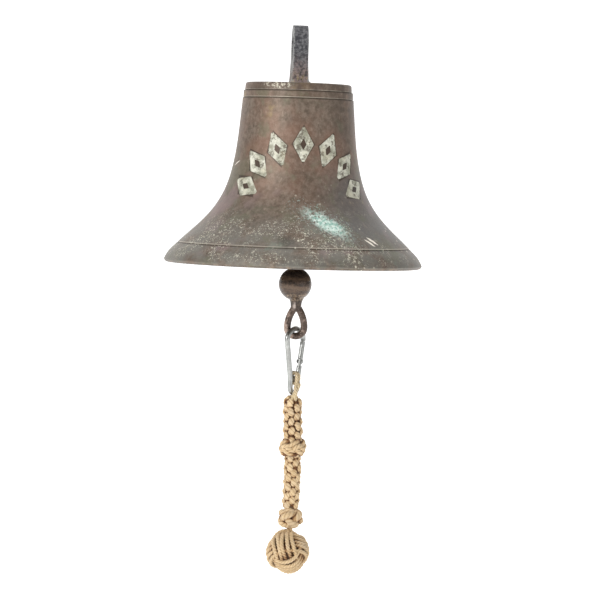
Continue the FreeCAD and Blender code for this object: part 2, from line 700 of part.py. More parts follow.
casting, marks = bell_with_ornament()
upper, lower = sinnet_parts()
save("bell_casting", casting)
save("ornament_inlays", marks)
save("crown_eye_bolt", crown_eye_bolt())
save("crown_washer", crown_washer())
save("crown_lock_nut", crown_lock_nut())
save("shackle_bow", shackle_bow())
save("shackle_pin", shackle_pin())
save("split_pin", split_pin())
save("clapper", clapper())
save("hook_frame", hook_frame())
save("hook_gate", hook_gate())
save("gate_rivet", gate_rivet())
save("gate_spring", gate_spring())
save("gate_plunger", gate_plunger())
save("rope_eye", rope_eye())
save("sinnet_upper", upper)
save("turks_head", collar())
save("sinnet_lower", lower)
save("lower_knot", lower_knot())
save("neck_cord", neck_cord())
save("monkeys_fist", monkeys_fist())
save("fist_core", fist_core())
pivots = {"rock": ROCK_Z, "pin": PIN_Z, "ball": BALL_Z, "tail": TAIL_BAR_Z, "hook": HOOK_TOP_Z}
for name, height in pivots.items():
    print(name, "z", round(height, 3))
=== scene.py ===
import json
import math
import random

import bpy
import numpy as np
from mathutils import Euler, Matrix, Vector


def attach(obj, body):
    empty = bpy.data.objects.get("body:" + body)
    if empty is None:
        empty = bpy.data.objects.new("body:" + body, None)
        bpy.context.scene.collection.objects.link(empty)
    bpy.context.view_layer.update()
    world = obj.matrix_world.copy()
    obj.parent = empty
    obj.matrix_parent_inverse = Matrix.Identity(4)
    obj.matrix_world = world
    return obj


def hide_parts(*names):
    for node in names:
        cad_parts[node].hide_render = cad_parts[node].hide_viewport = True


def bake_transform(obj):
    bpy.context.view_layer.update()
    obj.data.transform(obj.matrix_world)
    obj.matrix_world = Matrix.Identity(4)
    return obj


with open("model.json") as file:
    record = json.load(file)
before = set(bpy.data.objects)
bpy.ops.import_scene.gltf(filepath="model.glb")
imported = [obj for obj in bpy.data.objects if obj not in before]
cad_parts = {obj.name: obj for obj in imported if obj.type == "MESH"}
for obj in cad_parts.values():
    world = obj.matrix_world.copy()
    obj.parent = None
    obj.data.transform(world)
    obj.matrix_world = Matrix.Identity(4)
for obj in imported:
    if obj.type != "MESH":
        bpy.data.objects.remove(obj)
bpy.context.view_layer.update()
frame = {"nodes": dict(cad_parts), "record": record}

# Ship bell with its clapper, snap hook and plaited bell rope. Metres, in the CAD model's frame:
# origin at the middle of the lug's eye, +Z up, +Y towards the back.
MM = 0.001


def new_object(name, data):
    made = bpy.data.objects.new(name, data)
    bpy.context.scene.collection.objects.link(made)
    return made


# -------- camera

CAMERA_AZIMUTH = math.radians(-4.0)
CAMERA_DISTANCE = 3.43
CAMERA_HEIGHT = -0.1421
AIM_RIGHT = 0.0098
AIM_HEIGHT = -0.2931
CAMERA_ROLL = math.radians(1.9)
FIELD_HALF_WIDTH = 0.349
SENSOR = 36.0
CLIP_END = 60
TO_RIGHT = Vector((math.cos(CAMERA_AZIMUTH), math.sin(CAMERA_AZIMUTH), 0))
TO_CAMERA = Vector((math.sin(CAMERA_AZIMUTH), -math.cos(CAMERA_AZIMUTH), 0))


def make_camera():
    """Level with the bell's waist, a little to the left, and rolled as the bell hangs in the picture."""
    eye = TO_RIGHT * AIM_RIGHT + TO_CAMERA * CAMERA_DISTANCE + Vector((0, 0, CAMERA_HEIGHT))
    aim = TO_RIGHT * AIM_RIGHT + Vector((0, 0, AIM_HEIGHT))
    data = bpy.data.cameras.new("camera")
    data.sensor_width = SENSOR
    data.lens = SENSOR / 2 * CAMERA_DISTANCE / FIELD_HALF_WIDTH
    data.clip_end = CLIP_END
    camera = new_object("camera", data)
    turn = (aim - eye).to_track_quat("-Z", "Y").to_matrix().to_4x4()
    camera.matrix_world = Matrix.Translation(eye) @ turn @ Matrix.Rotation(CAMERA_ROLL, 4, "Z")
    bpy.context.scene.camera = camera


make_camera()


# -------- cords as laid rope

ROPE_Y = -2.0 * MM
SINNET_ROUTE = [
    (4.6 * MM, ROPE_Y, -405.7 * MM), (6.4 * MM, ROPE_Y, -444.0 * MM),
    (7.7 * MM, ROPE_Y, -496.0 * MM), (6.9 * MM, ROPE_Y, -536.6 * MM),
]
ALONG_Z = (0, 0, 1)
AROUND = 18                 # points round a cord's section
PLIES = 3
PLY_RADIUS = 2.5 * MM
END_TAPER = 2 * MM
SPLINE_STEPS = 24


def smooth_line(route):
    """The points of the NURBS line that a route gives."""
    curve = bpy.data.curves.new("route", "CURVE")
    curve.dimensions = "3D"
    spline = curve.splines.new("NURBS")
    spline.points.add(len(route) - 1)
    for point, place in zip(spline.points, route):
        point.co = (*place, 1)
    spline.order_u = 3
    spline.use_endpoint_u = True
    spline.resolution_u = SPLINE_STEPS
    holder = bpy.data.objects.new("route", curve)
    mesh = bpy.data.meshes.new_from_object(holder)
    line = np.array([v.co[:] for v in mesh.vertices])
    bpy.data.meshes.remove(mesh)
    bpy.data.objects.remove(holder)
    bpy.data.curves.remove(curve)
    return line


def lengths(points):
    """Distance along a line at each of its points."""
    steps = np.linalg.norm(np.diff(points, axis=0), axis=1)
    return np.concatenate([[0], np.cumsum(steps)])


def spaced(points, step):
    """The same line with evenly spaced points."""
    along = lengths(points)
    count = max(8, int(round(along[-1] / step)) + 1)
    places = np.linspace(0, along[-1], count)
    return np.column_stack([np.interp(places, along, points[:, k]) for k in range(3)])


def unit(vectors):
    return vectors / np.linalg.norm(vectors, axis=1, keepdims=True)


def round_the_axis(angle, height=0.0):
    """Points 1 from Z at some angles about it, at one height or each at its own."""
    return np.column_stack([np.cos(angle), np.sin(angle), np.broadcast_to(height, len(angle))])


def standing_out(distance, deep, span):
    """0 where a distance is deep, 1 where it is a span more."""
    return (distance - deep) / span


def facing_front(points):
    """The direction to the front, once for each point."""
    return np.tile((0, -1, 0), (len(points), 1))


class Cords:
    """Laid cords gathered into one mesh, with attributes that their material reads."""

    def __init__(self, name, depth):
        """depth gives how far points stand out of the gaps: 0 deep in, 1 outside."""
        self.name = name
        self.depth = depth
        self.count = 0
        self.points = []
        self.faces = []
        self.values = []
        self.fibres = []

    def add(self, points, outward, half_width, half_thick, lay, groove, tint=0.5, closed=False):
        """One cord. Its section is as wide as half_width and as thick outward as half_thick.

        lay is the length in which a ply goes round once, and groove is how deep the plies part.
        """
        points = np.asarray(points)
        count = len(points)
        if closed:
            tangent = np.roll(points, -1, axis=0) - np.roll(points, 1, axis=0)
            total = lengths(np.vstack([points, points[:1]]))
        else:
            tangent = np.gradient(points, axis=0)
            total = lengths(points)
        tangent = unit(tangent)
        side = unit(np.cross(tangent, outward))
        out = np.cross(side, tangent)
        along = total[:count]
        turns = total[-1] / lay
        if closed:
            turns = round(turns * PLIES) / PLIES
        twist = 2 * math.pi * turns * along / total[-1]
        half_width = np.broadcast_to(half_width, count).copy()
        half_thick = np.broadcast_to(half_thick, count).copy()
        if not closed:
            taper = np.sqrt(np.clip(np.minimum(along, total[-1] - along) / END_TAPER, 0.04, 1))
            half_width *= taper
            half_thick *= taper
        angle = np.arange(AROUND) * 2 * math.pi / AROUND
        lobe = np.abs(np.cos(PLIES / 2 * (angle[None, :] - twist[:, None])))
        size = 1 - groove + groove * lobe ** 0.8
        across = side[:, None, :] * (half_width[:, None] * size * np.cos(angle))[:, :, None]
        outwards = out[:, None, :] * (half_thick[:, None] * size * np.sin(angle))[:, :, None]
        ring = points[:, None, :] + across + outwards
        self.points.append(ring.reshape(-1, 3))
        self.values.append(np.column_stack([lobe.ravel(), np.full(lobe.size, tint)]))
        unrolled = np.stack(np.broadcast_arrays(
            along[:, None], (angle[None, :] - twist[:, None]) * PLY_RADIUS, tint,
        ), axis=-1)
        self.fibres.append(unrolled.reshape(-1, 3))
        self.add_faces(count, closed)

    def add_faces(self, count, closed):
        """Faces between a cord's rings of points, and over its ends."""
        start = self.count
        self.count += count * AROUND
        for i in range(count if closed else count - 1):
            a = start + i * AROUND
            b = start + (i + 1) % count * AROUND
            for j in range(AROUND):
                k = (j + 1) % AROUND
                self.faces.append((a + j, a + k, b + k, b + j))
        if not closed:
            self.faces.append(tuple(start + j for j in reversed(range(AROUND))))
            self.faces.append(tuple(start + (count - 1) * AROUND + j for j in range(AROUND)))

    def build(self, material):
        points = np.vstack(self.points)
        values = np.vstack(self.values)
        fibres = np.vstack(self.fibres)
        mesh = bpy.data.meshes.new(self.name)
        mesh.from_pydata(points.tolist(), [], self.faces)
        proud = np.clip(self.depth(points), 0, 1)
        for name, numbers in (("proud", proud), ("ply", values[:, 0]), ("tint", values[:, 1])):
            layer = mesh.attributes.new(name, "FLOAT", "POINT")
            layer.data.foreach_set("value", numbers.astype(np.float32))
        layer = mesh.attributes.new("fibre", "FLOAT_VECTOR", "POINT")
        layer.data.foreach_set("vector", fibres.astype(np.float32).ravel())
        mesh.shade_smooth()
        mesh.materials.append(material)
        piece = new_object(self.name, mesh)
        return piece


# -------- materials

def srgb(red, green, blue):
    """A colour from its 0 to 255 values."""
    def linear(c):
        c /= 255
        return c / 12.92 if c <= 0.04045 else ((c + 0.055) / 1.055) ** 2.4
    return (linear(red), linear(green), linear(blue), 1)


class Look:
    """Short names for the nodes that a material is built from."""

    def __init__(self, name, **sockets):
        self.material = bpy.data.materials.new(name)
        self.material.use_nodes = True
        self.nodes = self.material.node_tree.nodes
        self.links = self.material.node_tree.links
        self.shader = self.nodes["Principled BSDF"]
        for socket, value in sockets.items():
            self.shader.inputs[socket.replace("_", " ")].default_value = value
        self.place = self.node("TexCoord").outputs["Object"]

    def node(self, kind, **settings):
        made = self.nodes.new("ShaderNode" + kind)
        for key, value in settings.items():
            setattr(made, key, value)
        return made

    def put(self, socket, value):
        if isinstance(value, bpy.types.NodeSocket):
            self.links.new(value, socket)
        else:
            socket.default_value = value

    def math(self, operation, first, second=0.0, clamp=False):
        made = self.node("Math", operation=operation, use_clamp=clamp)
        self.put(made.inputs[0], first)
        self.put(made.inputs[1], second)
        return made.outputs[0]

    def times(self, first, second):
        return self.math("MULTIPLY", first, second)

    def plus(self, first, second):
        return self.math("ADD", first, second)

    def minus(self, first, second):
        return self.math("SUBTRACT", first, second)

    def scaled(self, value, factor, offset):
        return self.plus(self.times(value, factor), offset)

    def size_of(self, value):
        return self.math("ABSOLUTE", value)

    def both(self, first, second):
        return self.math("MULTIPLY", first, second, clamp=True)

    def either(self, first, second):
        return self.math("MAXIMUM", first, second, clamp=True)

    def rise(self, value, low, high):
        """0 up to low, 1 from high on."""
        made = self.node("MapRange", interpolation_type="SMOOTHSTEP")
        self.put(made.inputs["Value"], value)
        made.inputs["From Min"].default_value = low
        made.inputs["From Max"].default_value = high
        return made.outputs["Result"]

    def fall(self, value, low, high):
        """1 up to low, 0 from high on."""
        return self.minus(1.0, self.rise(value, low, high))

    def band(self, value, middle, half):
        """1 at middle, 0 from half away."""
        return self.fall(self.size_of(self.minus(value, middle)), half * 0.4, half)

    def mix(self, share, first, second):
        made = self.node("Mix", data_type="RGBA")
        self.put(made.inputs[0], share)
        self.put(made.inputs[6], first)
        self.put(made.inputs[7], second)
        return made.outputs[2]

    def coats(self, colour, layers):
        """Lays coats over a colour, one after another: each is a mask, its strength and its colour."""
        for mask, strength, over in layers:
            colour = self.mix(self.times(mask, strength), colour, over)
        return colour

    def noise(self, scale, detail=4.0, rough=0.55, at=None, stretch=None):
        made = self.node("TexNoise")
        self.put(made.inputs["Vector"], self.moved(stretch, at) if stretch else (at or self.place))
        made.inputs["Scale"].default_value = scale
        made.inputs["Detail"].default_value = detail
        made.inputs["Roughness"].default_value = rough
        return made.outputs["Fac"]

    def spots(self, low, high, scale, *settings, **more):
        """0 where noise is below low, 1 where it is above high."""
        return self.rise(self.noise(scale, *settings, **more), low, high)

    def cells(self, scale, at):
        """Distance from the nearest of scattered points."""
        made = self.node("TexVoronoi")
        self.put(made.inputs["Vector"], at)
        made.inputs["Scale"].default_value = scale
        return made.outputs["Distance"]

    def moved(self, scale, at=None):
        made = self.node("VectorMath", operation="MULTIPLY")
        self.put(made.inputs[0], at or self.place)
        made.inputs[1].default_value = scale
        return made.outputs[0]

    def bent(self, amount, scale):
        """Object coordinates pushed about by noise, so that edges wander."""
        made = self.node("TexNoise")
        self.put(made.inputs["Vector"], self.place)
        made.inputs["Scale"].default_value = scale
        push = self.node("VectorMath", operation="SCALE")
        self.put(push.inputs[0], made.outputs["Color"])
        push.inputs["Scale"].default_value = amount
        total = self.node("VectorMath", operation="ADD")
        self.put(total.inputs[0], self.place)
        self.put(total.inputs[1], push.outputs[0])
        return total.outputs[0]

    def axis(self, name, at=None):
        made = self.node("SeparateXYZ")
        self.put(made.inputs[0], at or self.place)
        return made.outputs[name]

    def normal(self):
        return self.node("TexCoord").outputs["Normal"]

    def seen_from(self, centre, turn, scale, at=None):
        """Coordinates from a turned centre, in units of a scale."""
        made = self.node("Mapping", vector_type="TEXTURE")
        self.put(made.inputs["Vector"], at or self.place)
        made.inputs["Location"].default_value = centre
        made.inputs["Rotation"].default_value = turn
        made.inputs["Scale"].default_value = scale
        return made.outputs[0]

    def patch(self, centre, radii, turn=(0, 0, 0), at=None):
        """Distance from a turned ellipsoid's centre, 1 at its surface."""
        away = self.node("VectorMath", operation="LENGTH")
        self.put(away.inputs[0], self.seen_from(centre, turn, radii, at))
        return away.outputs["Value"]

    def lozenge(self, centre, turn, halves):
        """Distance from the middle of a turned lozenge's outline, 1 on it, along its X and Z."""
        parts = self.node("SeparateXYZ")
        self.put(parts.inputs[0], self.seen_from(centre, turn, halves))
        across = self.size_of(parts.outputs["X"])
        too_deep = self.rise(self.size_of(parts.outputs["Y"]), 3.0, 3.2)
        outline = self.plus(across, self.size_of(parts.outputs["Z"]))
        return self.plus(outline, self.times(too_deep, 9.0))

    def attribute(self, name, output="Fac"):
        return self.node("Attribute", attribute_name=name).outputs[output]

    def colour(self, value):
        self.put(self.shader.inputs["Base Color"], value)

    def rough(self, value):
        self.put(self.shader.inputs["Roughness"], value)

    def metal(self, value):
        self.put(self.shader.inputs["Metallic"], value)

    def bump(self, height, distance, strength):
        made = self.node("Bump")
        made.inputs["Strength"].default_value = strength
        made.inputs["Distance"].default_value = distance
        self.put(made.inputs["Height"], height)
        self.put(self.shader.inputs["Normal"], made.outputs[0])


# -------- places on the bell

MOUTH_Z = -252.7 * MM
CROWN = 210.7 * MM              # heights above the mouth, here and in GROOVES
GROOVES = (192.7 * MM, 201.3 * MM, 22.9 * MM)
STRUCK = (118.0 * MM, 0, -241.0 * MM)
STRUCK_RADII = (17.0 * MM, 26.0 * MM, 12.0 * MM)
CHIPS = (-27.0 * MM, -52.0 * MM, MOUTH_Z + 207.5 * MM)
CHIPS_RADII = (21.0 * MM, 30.0 * MM, 5.6 * MM)
VERDIGRIS_RADII = (41.0 * MM, 30.0 * MM, 16.5 * MM)
SMUDGE_RADII = (16.0 * MM, 30.0 * MM, 12.5 * MM)
KNOCK_RADII = (9.5 * MM, 20.0 * MM, 2.1 * MM)
NICK_RADII = (9.5 * MM, 10.0 * MM, 1.0 * MM)


def on_flare(right, height, radius):
    """A point on the bell's front: how far to the camera's right, above the mouth, and from the axis."""
    depth = math.sqrt(radius ** 2 - right ** 2)
    return TO_RIGHT * right + TO_CAMERA * depth + Vector((0, 0, MOUTH_Z + height))


def lying(start, end):
    """Centre, and turn that brings X along a line on the bell's front, with Y off the bell."""
    middle = (start + end) / 2
    along = (end - start).normalized()
    away = Vector((middle.x, middle.y, 0.03)).normalized()
    up = along.cross(away).normalized()
    depth = up.cross(along)
    turn = Matrix((along, depth, up)).transposed().to_euler()
    return tuple(middle), tuple(turn)


VERDIGRIS, VERDIGRIS_TURN = lying(on_flare(0.018, 0.0665, 0.083), on_flare(0.068, 0.0355, 0.113))
UPPER_KNOCK = lying(on_flare(0.0815, 0.0345, 0.115), on_flare(0.0955, 0.0270, 0.125))[0]
LOWER_KNOCK, KNOCK_TURN = lying(on_flare(0.0785, 0.0315, 0.116), on_flare(0.0925, 0.0240, 0.126))
SMUDGE, SMUDGE_TURN = lying(on_flare(-0.013, 0.033, 0.1145), on_flare(0.007, 0.033, 0.1145))
NICK, NICK_TURN = lying(on_flare(-0.071, 0.113, 0.0735), on_flare(-0.064, 0.120, 0.0725))


def islands(piece):
    """The piece's vertices, sorted into groups that edges join or that lie in one place."""
    places = [tuple(round(c, 6) for c in piece.matrix_world @ vertex.co) for vertex in piece.data.vertices]
    leader = {place: place for place in places}

    def first_of(place):
        while leader[place] != place:
            place = leader[place]
        return place

    for edge in piece.data.edges:
        leader[first_of(places[edge.vertices[0]])] = first_of(places[edge.vertices[1]])
    groups = {}
    for place in leader:
        groups.setdefault(first_of(place), []).append(place)
    return [np.array(sorted(group)) for group in sorted(groups.values(), key=min)]


def lying_box(points):
    """Centre, turn and half sizes of a flat mark: X along its width, Y through it, Z along its length."""
    mean = points.mean(axis=0)
    axes = np.linalg.eigh(np.cov((points - mean).T))[1]
    turn = np.column_stack([axes[:, 1], axes[:, 0], axes[:, 2]])
    if np.linalg.det(turn) < 0:
        turn[:, 1] *= -1
    local = (points - mean) @ turn
    low, high = local.min(axis=0), local.max(axis=0)
    centre = mean + turn @ ((low + high) / 2)
    return tuple(centre), tuple(Matrix(turn.tolist()).to_euler()), tuple((high - low) / 2)


MARKS = [lying_box(points) for points in islands(frame["nodes"]["ornament_inlays"])]


# -------- the bell's bronze

def patina(look, height, across, blotch, fine, grain):
    """Brown-grey, redder on the waist and greener on the flare, mottled in several colours."""
    broad = look.noise(14, 3)
    streaks = look.spots(0.55, 0.75, 60, 4, 0.6, stretch=(1, 1, 0.22))
    waist = look.both(look.rise(height, 0.045, 0.11), look.fall(height, 0.17, 0.215))
    reddish = look.rise(look.plus(look.times(broad, 0.6), look.times(blotch, 0.4)), 0.40, 0.60)
    greenish = look.rise(look.plus(blotch, look.times(broad, 0.3)), 0.45, 0.75)
    low_down = look.both(look.rise(height, 0.02, 0.045), look.fall(height, 0.09, 0.13))
    ochre = look.both(look.spots(0.56, 0.72, 27, 4, 0.6), look.rise(height, 0.12, 0.19))
    olive = look.spots(0.52, 0.64, 25, 5, 0.65, at=look.bent(0.02, 25))
    scuffs = look.spots(0.58, 0.66, 130, 5, 0.8, stretch=(1, 1, 0.55))
    lavender = look.spots(0.58, 0.72, 21, 2, 0.5, at=look.bent(0.03, 18))
    base = look.mix(look.rise(fine, 0.35, 0.68), srgb(90, 78, 67), srgb(120, 106, 94))
    return look.coats(base, [
        (look.both(reddish, look.scaled(waist, 0.75, 0.25)), 0.46, srgb(130, 97, 81)),
        (look.both(look.fall(height, 0.02, 0.085), greenish), 0.7, srgb(112, 113, 107)),
        (look.both(look.rise(across, 0.012, 0.055), low_down), 0.5, srgb(98, 100, 101)),
        (ochre, 0.6, srgb(143, 124, 84)),
        (streaks, 0.35, srgb(84, 74, 68)),
        (olive, 0.5, srgb(103, 103, 84)),
        (scuffs, 0.35, srgb(158, 140, 124)),
        (lavender, 0.42, srgb(140, 120, 122)),
        (look.rise(grain, 0.58, 0.75), 0.25, srgb(158, 146, 128)),
        (look.fall(grain, 0.25, 0.42), 0.35, srgb(70, 60, 54)),
    ])


def groove_coats(look, height):
    """Each engraved line: a pale line just above it, and a dark line along it."""
    coats = []
    for groove in GROOVES:
        coats.append((look.band(height, groove + 1.1 * MM, 0.6 * MM), 0.6, srgb(180, 171, 156)))
        coats.append((look.band(height, groove - 0.4 * MM, 0.9 * MM), 0.65, srgb(64, 54, 47)))
    return coats


def mark_shade_coats(look):
    """Painted shade round the marks, as a thin dark outline where the proud inlays would shadow the bronze.
    """
    return [(look.fall(look.lozenge(*mark), 1.06, 1.2), 0.75, srgb(58, 49, 42)) for mark in MARKS]


def inside_mask(look, height):
    """1 where the bell's surface faces its axis, below the crown."""
    outward = look.node("VectorMath", operation="NORMALIZE")
    look.put(outward.inputs[0], look.moved((1, 1, 0)))
    facing = look.node("VectorMath", operation="DOT_PRODUCT")
    look.put(facing.inputs[0], outward.outputs[0])
    look.put(facing.inputs[1], look.normal())
    return look.both(look.fall(facing.outputs["Value"], -0.25, -0.02), look.fall(height, 0.19, 0.2))


def inside_skin(look):
    """Brown skin with pale runs, and two bright places where the ball strikes."""
    brown = look.mix(look.spots(0.35, 0.65, 70, 5, 0.65), srgb(64, 52, 43), srgb(104, 88, 72))
    runs = look.spots(0.5, 0.66, 75, 5, 0.65, stretch=(1, 1, 0.14))
    crumbs = look.spots(0.56, 0.63, 270, 5, 0.78)
    coats = [(runs, 0.5, srgb(104, 112, 98)), (crumbs, 0.6, srgb(158, 152, 132))]
    x, y, z = STRUCK
    for place in ((-x, y, z), (x, y, z)):
        struck = look.fall(look.patch(place, STRUCK_RADII, at=look.bent(0.006, 110)), 0.2, 1.0)
        coats.append((struck, 0.65, srgb(168, 142, 102)))
    return look.coats(brown, coats)


def stain_coats(look, height, across, outside):
    """A smudge on the flare, the stained top band, painted shade on the upper right, the lip's dark foot,
    and painted highlights along the lip.
    """
    smudge = look.fall(look.patch(SMUDGE, SMUDGE_RADII, SMUDGE_TURN, at=look.bent(0.012, 60)), 0.2, 1.1)
    top_band = look.both(look.rise(height, 0.2005, 0.2025), look.fall(height, 0.2107, 0.2117))
    stain = look.both(top_band, look.spots(0.42, 0.6, 48, 5, 0.7, stretch=(1, 1, 0.35)))
    # Painted shade: the bell's upper right is darkened, away from the key light.
    upper_right = look.both(look.rise(across, 0.020, 0.052), look.rise(height, 0.115, 0.185))
    upper_right = look.both(upper_right, look.fall(height, 0.2, 0.203))
    shadow = look.both(upper_right, look.spots(0.3, 0.55, 44, 4, 0.6))
    foot = look.both(look.fall(height, 0.0006, 0.0024), outside)
    # Painted highlights: pale spots along the bottom of the lip.
    lip = look.both(look.fall(height, 0.0012, 0.0032), look.spots(0.45, 0.62, 110, 5, 0.7))
    return [
        (smudge, 0.6, srgb(64, 59, 57)),
        (stain, 0.6, srgb(82, 70, 63)),
        (shadow, 0.62, srgb(80, 72, 64)),
        (foot, 0.55, srgb(66, 52, 46)),
        (look.both(lip, outside), 0.35, srgb(168, 146, 122)),
    ]


def speck_mask(look, height, across):
    """Pits and flakes low on the flare, fewer to the right, larger specks above, and chips by the lug."""
    low_down = look.both(look.rise(height, 0.001, 0.012), look.fall(height, 0.035, 0.075))
    rarer = look.times(look.rise(across, 0.02, 0.11), 0.05)
    crowd = look.rise(look.minus(look.noise(30, 4, 0.6), rarer), 0.42, 0.56)
    pits = look.fall(look.cells(420, look.bent(0.003, 260)), 0.14, 0.34)
    pits = look.both(pits, look.spots(0.44, 0.50, 210, 4, 0.75))
    flakes = look.spots(0.565, 0.60, 290, 6, 0.85)
    specks = look.both(look.both(look.either(pits, flakes), low_down), look.either(crowd, 0.10))
    large = look.fall(look.cells(125, look.bent(0.003, 200)), 0.08, 0.22)
    large = look.both(large, look.spots(0.49, 0.6, 17, 2, at=look.bent(0.02, 30)))
    large = look.both(large, look.rise(across, -0.03, 0.0))
    specks = look.either(specks, look.times(large, look.fall(height, 0.07, 0.12)))
    by_lug = look.fall(look.patch(CHIPS, CHIPS_RADII), 0.5, 1.0)
    chips = look.both(look.spots(0.5, 0.56, 310, 5, 0.75), by_lug)
    return look.either(specks, look.times(chips, 0.85))


def verdigris_mask(look):
    """A crust that runs down to the right of the middle, with crumbs round it."""
    run = look.patch(VERDIGRIS, VERDIGRIS_RADII, VERDIGRIS_TURN, at=look.bent(0.012, 45))
    crumbs = look.plus(look.noise(270, 5, 0.8), look.times(look.fall(run, 0.1, 1.05), 0.17))
    crust = look.both(look.fall(run, 0.4, 1.05), look.rise(crumbs, 0.505, 0.565))
    halo = look.both(look.fall(run, 0.6, 1.7), look.spots(0.56, 0.66, 420, 3, 0.7))
    return look.either(crust, look.times(halo, 0.7))


def knock_mask(look):
    """Two knocks and a nick, through to pale metal."""
    torn = look.bent(0.0022, 260)
    upper, lower = [
        look.fall(look.patch(centre, KNOCK_RADII, KNOCK_TURN, at=torn), 0.7, 1.0)
        for centre in (UPPER_KNOCK, LOWER_KNOCK)
    ]
    nick = look.fall(look.patch(NICK, NICK_RADII, NICK_TURN), 0.5, 1.0)
    return look.either(look.either(upper, lower), look.times(nick, 0.8))


def lug_skin(look, height, across, blotch):
    """Dark and granular above, pinkish below, with worn edges and brown runs at the foot."""
    upper = look.rise(look.plus(height, look.times(blotch, 0.02)), 0.228, 0.256)
    pinkish = look.mix(look.spots(0.38, 0.62, 330, 5, 0.7), srgb(66, 61, 61), srgb(134, 118, 114))
    dark = look.mix(look.spots(0.4, 0.66, 240, 5, 0.7), srgb(50, 50, 54), srgb(108, 107, 109))
    worn = look.spots(0.44, 0.56, 180, 4, 0.7)
    edge = look.both(look.rise(look.size_of(across), 0.0068, 0.0086), worn)
    runs = look.spots(0.5, 0.62, 420, 2, stretch=(1, 1, 0.12))
    return look.coats(look.mix(upper, pinkish, dark), [
        (edge, 0.65, srgb(160, 161, 158)),
        (look.both(look.fall(height, 0.2125, 0.228), runs), 0.5, srgb(170, 150, 110)),
    ])


def bronze_look():
    """The bell and its lug."""
    look = Look("bell bronze", Specular_IOR_Level=0.28)
    height = look.minus(look.axis("Z"), MOUTH_Z)
    across = look.axis("X")
    blotch = look.noise(38, 5, 0.6)
    fine = look.noise(190, 6, 0.65)
    grain = look.noise(900, 3, 0.6)
    lug = look.rise(height, CROWN + 0.2 * MM, CROWN + 1.5 * MM)
    inside = inside_mask(look, height)
    outside = look.fall(inside, 0.2, 0.6)
    specks = look.both(speck_mask(look, height, across), outside)
    green = look.both(verdigris_mask(look), outside)
    mint = look.mix(look.spots(0.36, 0.64, 300, 4, 0.65), srgb(142, 184, 171), srgb(224, 238, 230))
    thin = look.both(look.spots(0.6, 0.75, 33, 4, 0.65), look.fall(height, 0.03, 0.12))
    knock = knock_mask(look)

    colour = patina(look, height, across, blotch, fine, grain)
    colour = look.coats(colour, groove_coats(look, height) + mark_shade_coats(look))
    colour = look.mix(inside, colour, inside_skin(look))
    colour = look.coats(colour, stain_coats(look, height, across, outside))
    colour = look.coats(colour, [
        (specks, 0.85, srgb(214, 209, 190)),
        (green, 0.9, mint),
        (look.both(thin, outside), 0.3, srgb(120, 140, 125)),
    ])
    colour = look.mix(knock, colour, srgb(234, 227, 214))
    look.colour(look.mix(lug, colour, lug_skin(look, height, across, blotch)))

    pale = look.either(specks, green)
    look.metal(look.minus(0.42, look.times(look.either(pale, lug), 0.35)))
    smooth = look.scaled(fine, 0.22, 0.36)
    look.rough(look.plus(smooth, look.times(look.either(pale, look.times(lug, 0.8)), 0.2)))
    relief = look.plus(look.times(blotch, 0.7), look.times(fine, 0.5))
    relief = look.plus(relief, look.times(grain, look.scaled(lug, 0.6, 0.12)))
    relief = look.plus(relief, look.times(green, 0.35))
    relief = look.minus(relief, look.times(specks, 0.25))
    relief = look.minus(relief, look.times(knock, 0.5))
    look.bump(relief, 0.7 * MM, 0.7)
    return look.material


def inlay_look():
    """Pale chalky filling, chipped so that the bronze shows through."""
    look = Look("inlay", Specular_IOR_Level=0.4)
    chalk = look.mix(look.spots(0.35, 0.65, 120, 5, 0.65), srgb(140, 139, 122), srgb(204, 203, 188))
    lost = look.spots(0.53, 0.59, 170, 5, 0.78)
    look.colour(look.coats(chalk, [
        (lost, 0.8, srgb(96, 88, 76)),
        (look.spots(0.5, 0.7, 60, 3), 0.35, srgb(150, 138, 100)),
    ]))
    look.metal(0.1)
    look.rough(look.scaled(look.noise(300, 3), 0.25, 0.5))
    look.bump(look.minus(look.noise(260, 5, 0.7), look.times(lost, 0.6)), 0.7 * MM, 0.8)
    return look.material


# -------- clapper, iron, steel and wood

BALL_Z = -274.7 * MM
GLINT = (4.2 * MM, -8.0 * MM, -298.5 * MM)
GLINT_RADII = (3.4 * MM, 8.0 * MM, 6.2 * MM)


